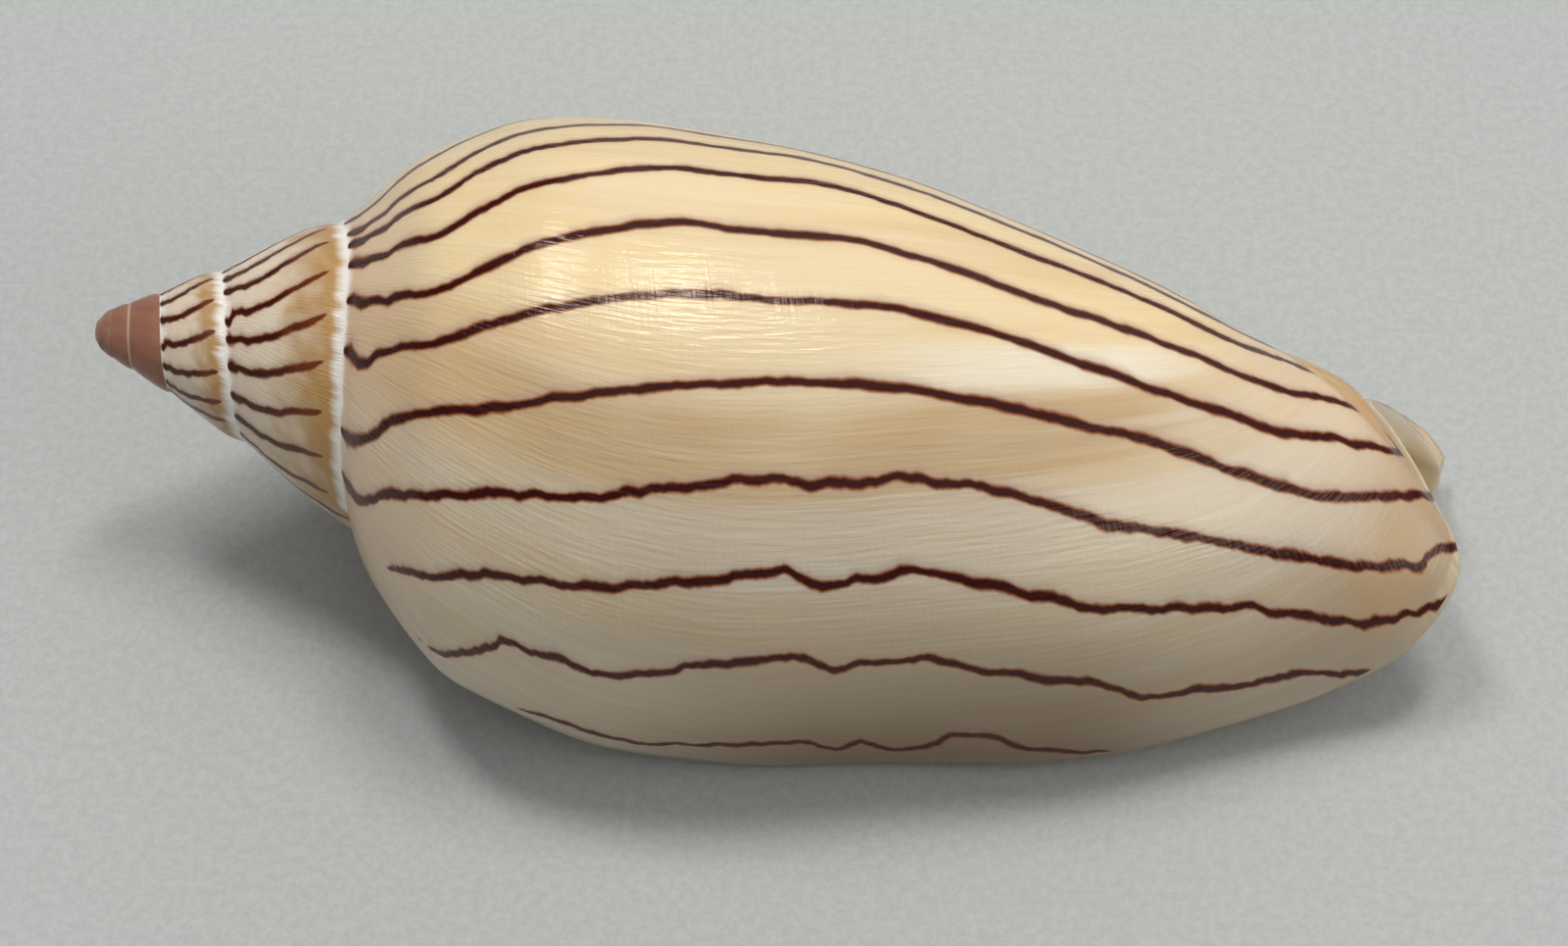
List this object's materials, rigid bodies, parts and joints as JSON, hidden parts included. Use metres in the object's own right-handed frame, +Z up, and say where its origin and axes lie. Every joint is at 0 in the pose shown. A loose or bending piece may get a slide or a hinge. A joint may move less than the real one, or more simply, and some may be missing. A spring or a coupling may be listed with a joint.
{
  "type": "volute shell",
  "caption": "Empty volute sea shell: a long glossy cream body whorl with wavy dark maroon lines, a short pointed spire and a long open mouth, lying mouth down.",
  "frame": {"origin": "centre of the bounding box in X and Y, on the surface that the shell lies on", "axes": "+X from the tip of the spire towards the front notch, +Z up, away from the mouth; the lip is on the -Y side"},
  "size_m": [0.09, 0.0394, 0.0327],
  "materials": {
    "glazed_shell": "glossy natural glaze, cream with dark maroon lines along the shell"
  },
  "bodies": {
    "root": {"shell": "glazed_shell"}
  },
  "joints": []
}
